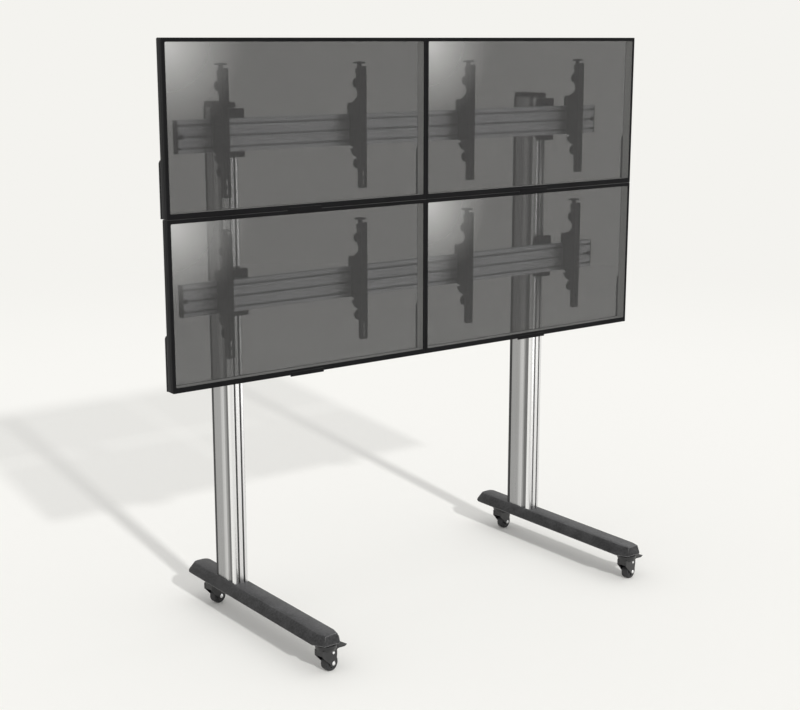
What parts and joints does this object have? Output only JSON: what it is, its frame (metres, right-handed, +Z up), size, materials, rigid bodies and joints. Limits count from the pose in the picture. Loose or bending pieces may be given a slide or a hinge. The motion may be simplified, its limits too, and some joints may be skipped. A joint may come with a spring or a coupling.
{
  "type": "mobile video wall stand",
  "caption": "Castor stand with two columns and two rails whose hooked arms carry a two by two wall of slim displays.",
  "frame": {"origin": "on the floor, below the centre of the bounding box", "axes": "+X along the wall to the right as seen from the front, -Y the way the displays face, +Z up"},
  "size_m": [2.2696, 0.986, 2.2512],
  "materials": {
    "column_aluminium": "satin anodised",
    "rail_aluminium": "satin anodised",
    "foot_paint": "fine textured matt",
    "coated_steel": "satin powder coat",
    "black_plastic": "satin",
    "castor_rubber": "matt",
    "display_plastic": "satin",
    "smoked_glass": "smooth, smoked"
  },
  "bodies": {
    "base": {"left_foot": "foot_paint", "left_column": "column_aluminium", "left_rear_cover": "black_plastic", "left_column_cap": "black_plastic", "right_foot": "foot_paint", "right_column": "column_aluminium", "right_rear_cover": "black_plastic", "right_column_cap": "black_plastic"},
    "left_front_castor_swivel": {"left_front_castor_fork": "black_plastic"},
    "left_front_castor_roller": {"left_front_castor_wheel": "castor_rubber"},
    "left_front_castor_brake": {"left_front_castor_pedal": "black_plastic"},
    "left_rear_castor_swivel": {"left_rear_castor_fork": "black_plastic"},
    "left_rear_castor_roller": {"left_rear_castor_wheel": "castor_rubber"},
    "right_front_castor_swivel": {"right_front_castor_fork": "black_plastic"},
    "right_front_castor_roller": {"right_front_castor_wheel": "castor_rubber"},
    "right_front_castor_brake": {"right_front_castor_pedal": "black_plastic"},
    "right_rear_castor_swivel": {"right_rear_castor_fork": "black_plastic"},
    "right_rear_castor_roller": {"right_rear_castor_wheel": "castor_rubber"},
    "upper_rail_set": {"upper_rail": "rail_aluminium", "upper_left_rail_end_cap": "black_plastic", "upper_left_rail_bracket": "coated_steel", "upper_right_rail_end_cap": "black_plastic", "upper_right_rail_bracket": "coated_steel"},
    "upper_left_carriage": {"upper_left_outer_hook_plate": "coated_steel", "upper_left_inner_hook_plate": "coated_steel"},
    "upper_left_display": {"upper_left_display_housing": "display_plastic", "upper_left_front_glass": "smoked_glass", "upper_left_outer_arm_channel": "coated_steel", "upper_left_inner_arm_channel": "coated_steel"},
    "upper_left_outer_knob": {"upper_left_outer_height_knob": "black_plastic"},
    "upper_left_inner_knob": {"upper_left_inner_height_knob": "black_plastic"},
    "upper_right_carriage": {"upper_right_outer_hook_plate": "coated_steel", "upper_right_inner_hook_plate": "coated_steel"},
    "upper_right_display": {"upper_right_display_housing": "display_plastic", "upper_right_front_glass": "smoked_glass", "upper_right_outer_arm_channel": "coated_steel", "upper_right_inner_arm_channel": "coated_steel"},
    "upper_right_outer_knob": {"upper_right_outer_height_knob": "black_plastic"},
    "upper_right_inner_knob": {"upper_right_inner_height_knob": "black_plastic"},
    "lower_rail_set": {"lower_rail": "rail_aluminium", "lower_left_rail_end_cap": "black_plastic", "lower_left_rail_bracket": "coated_steel", "lower_right_rail_end_cap": "black_plastic", "lower_right_rail_bracket": "coated_steel"},
    "lower_left_carriage": {"lower_left_outer_hook_plate": "coated_steel", "lower_left_inner_hook_plate": "coated_steel"},
    "lower_left_display": {"lower_left_display_housing": "display_plastic", "lower_left_front_glass": "smoked_glass", "lower_left_outer_arm_channel": "coated_steel", "lower_left_inner_arm_channel": "coated_steel"},
    "lower_left_outer_knob": {"lower_left_outer_height_knob": "black_plastic"},
    "lower_left_inner_knob": {"lower_left_inner_height_knob": "black_plastic"},
    "lower_right_carriage": {"lower_right_outer_hook_plate": "coated_steel", "lower_right_inner_hook_plate": "coated_steel"},
    "lower_right_display": {"lower_right_display_housing": "display_plastic", "lower_right_front_glass": "smoked_glass", "lower_right_outer_arm_channel": "coated_steel", "lower_right_inner_arm_channel": "coated_steel"},
    "lower_right_outer_knob": {"lower_right_outer_height_knob": "black_plastic"},
    "lower_right_inner_knob": {"lower_right_inner_height_knob": "black_plastic"}
  },
  "joints": [
    {"name": "left_front_castor_turn", "type": "hinge", "parent": "base", "child": "left_front_castor_swivel", "pos_m": [-0.7696, -0.4515, 0.11], "axis": [0, 0, 1], "continuous": true},
    {"name": "left_front_castor_roll", "type": "hinge", "parent": "left_front_castor_swivel", "child": "left_front_castor_roller", "pos_m": [-0.75395, -0.44817, 0.03], "axis": [-0.2079, 0.9781, 0], "continuous": true},
    {"name": "left_front_castor_pedal_press", "type": "hinge", "parent": "left_front_castor_swivel", "child": "left_front_castor_brake", "pos_m": [-0.75297, -0.44797, 0.0715], "axis": [-0.2079, 0.9781, 0], "range_deg": [0, 18]},
    {"name": "left_rear_castor_turn", "type": "hinge", "parent": "base", "child": "left_rear_castor_swivel", "pos_m": [-0.7696, 0.359, 0.11], "axis": [0, 0, 1], "continuous": true},
    {"name": "left_rear_castor_roll", "type": "hinge", "parent": "left_rear_castor_swivel", "child": "left_rear_castor_roller", "pos_m": [-0.75395, 0.36233, 0.03], "axis": [-0.2079, 0.9781, 0], "continuous": true},
    {"name": "right_front_castor_turn", "type": "hinge", "parent": "base", "child": "right_front_castor_swivel", "pos_m": [0.7696, -0.4515, 0.11], "axis": [0, 0, 1], "continuous": true},
    {"name": "right_front_castor_roll", "type": "hinge", "parent": "right_front_castor_swivel", "child": "right_front_castor_roller", "pos_m": [0.78525, -0.44817, 0.03], "axis": [-0.2079, 0.9781, 0], "continuous": true},
    {"name": "right_front_castor_pedal_press", "type": "hinge", "parent": "right_front_castor_swivel", "child": "right_front_castor_brake", "pos_m": [0.78623, -0.44797, 0.0715], "axis": [-0.2079, 0.9781, 0], "range_deg": [0, 18]},
    {"name": "right_rear_castor_turn", "type": "hinge", "parent": "base", "child": "right_rear_castor_swivel", "pos_m": [0.7696, 0.359, 0.11], "axis": [0, 0, 1], "continuous": true},
    {"name": "right_rear_castor_roll", "type": "hinge", "parent": "right_rear_castor_swivel", "child": "right_rear_castor_roller", "pos_m": [0.78525, 0.36233, 0.03], "axis": [-0.2079, 0.9781, 0], "continuous": true},
    {"name": "upper_rail_height", "type": "slide", "parent": "base", "child": "upper_rail_set", "axis": [0, 0, 1], "range_m": [0, 0.01]},
    {"name": "upper_left_display_side", "type": "slide", "parent": "upper_rail_set", "child": "upper_left_carriage", "axis": [-1, 0, 0], "range_m": [0, 0.12]},
    {"name": "upper_left_display_height", "type": "slide", "parent": "upper_left_carriage", "child": "upper_left_display", "axis": [0, 0, 1], "range_m": [0, 0.006]},
    {"name": "upper_left_outer_knob_turn", "type": "hinge", "parent": "upper_left_carriage", "child": "upper_left_outer_knob", "pos_m": [-0.86755, 0.0282, 2.14595], "axis": [0, 0, 1], "range_deg": [0, 540]},
    {"name": "upper_left_inner_knob_turn", "type": "hinge", "parent": "upper_left_carriage", "child": "upper_left_inner_knob", "pos_m": [-0.26755, 0.0282, 2.14595], "axis": [0, 0, 1], "range_deg": [0, 540]},
    {"name": "upper_right_display_side", "type": "slide", "parent": "upper_rail_set", "child": "upper_right_carriage", "axis": [1, 0, 0], "range_m": [0, 0.12]},
    {"name": "upper_right_display_height", "type": "slide", "parent": "upper_right_carriage", "child": "upper_right_display", "axis": [0, 0, 1], "range_m": [0, 0.006]},
    {"name": "upper_right_outer_knob_turn", "type": "hinge", "parent": "upper_right_carriage", "child": "upper_right_outer_knob", "pos_m": [0.86755, 0.0282, 2.14595], "axis": [0, 0, 1], "range_deg": [0, 540]},
    {"name": "upper_right_inner_knob_turn", "type": "hinge", "parent": "upper_right_carriage", "child": "upper_right_inner_knob", "pos_m": [0.26755, 0.0282, 2.14595], "axis": [0, 0, 1], "range_deg": [0, 540]},
    {"name": "lower_rail_height", "type": "slide", "parent": "base", "child": "lower_rail_set", "axis": [0, 0, 1], "range_m": [-0.6, 0]},
    {"name": "lower_left_display_side", "type": "slide", "parent": "lower_rail_set", "child": "lower_left_carriage", "axis": [-1, 0, 0], "range_m": [0, 0.12]},
    {"name": "lower_left_display_height", "type": "slide", "parent": "lower_left_carriage", "child": "lower_left_display", "axis": [0, 0, 1], "range_m": [-0.006, 0]},
    {"name": "lower_left_outer_knob_turn", "type": "hinge", "parent": "lower_left_carriage", "child": "lower_left_outer_knob", "pos_m": [-0.86755, 0.0282, 1.55445], "axis": [0, 0, 1], "range_deg": [-540, 0]},
    {"name": "lower_left_inner_knob_turn", "type": "hinge", "parent": "lower_left_carriage", "child": "lower_left_inner_knob", "pos_m": [-0.26755, 0.0282, 1.55445], "axis": [0, 0, 1], "range_deg": [-540, 0]},
    {"name": "lower_right_display_side", "type": "slide", "parent": "lower_rail_set", "child": "lower_right_carriage", "axis": [1, 0, 0], "range_m": [0, 0.12]},
    {"name": "lower_right_display_height", "type": "slide", "parent": "lower_right_carriage", "child": "lower_right_display", "axis": [0, 0, 1], "range_m": [-0.006, 0]},
    {"name": "lower_right_outer_knob_turn", "type": "hinge", "parent": "lower_right_carriage", "child": "lower_right_outer_knob", "pos_m": [0.86755, 0.0282, 1.55445], "axis": [0, 0, 1], "range_deg": [-540, 0]},
    {"name": "lower_right_inner_knob_turn", "type": "hinge", "parent": "lower_right_carriage", "child": "lower_right_inner_knob", "pos_m": [0.26755, 0.0282, 1.55445], "axis": [0, 0, 1], "range_deg": [-540, 0]}
  ],
  "couplings": [
    {"joint": "upper_left_outer_knob_turn", "follows": "upper_left_display_height", "rad_per_m": 1570.8},
    {"joint": "upper_left_inner_knob_turn", "follows": "upper_left_display_height", "rad_per_m": 1570.8},
    {"joint": "upper_right_outer_knob_turn", "follows": "upper_right_display_height", "rad_per_m": 1570.8},
    {"joint": "upper_right_inner_knob_turn", "follows": "upper_right_display_height", "rad_per_m": 1570.8},
    {"joint": "lower_left_outer_knob_turn", "follows": "lower_left_display_height", "rad_per_m": 1570.8},
    {"joint": "lower_left_inner_knob_turn", "follows": "lower_left_display_height", "rad_per_m": 1570.8},
    {"joint": "lower_right_outer_knob_turn", "follows": "lower_right_display_height", "rad_per_m": 1570.8},
    {"joint": "lower_right_inner_knob_turn", "follows": "lower_right_display_height", "rad_per_m": 1570.8}
  ]
}
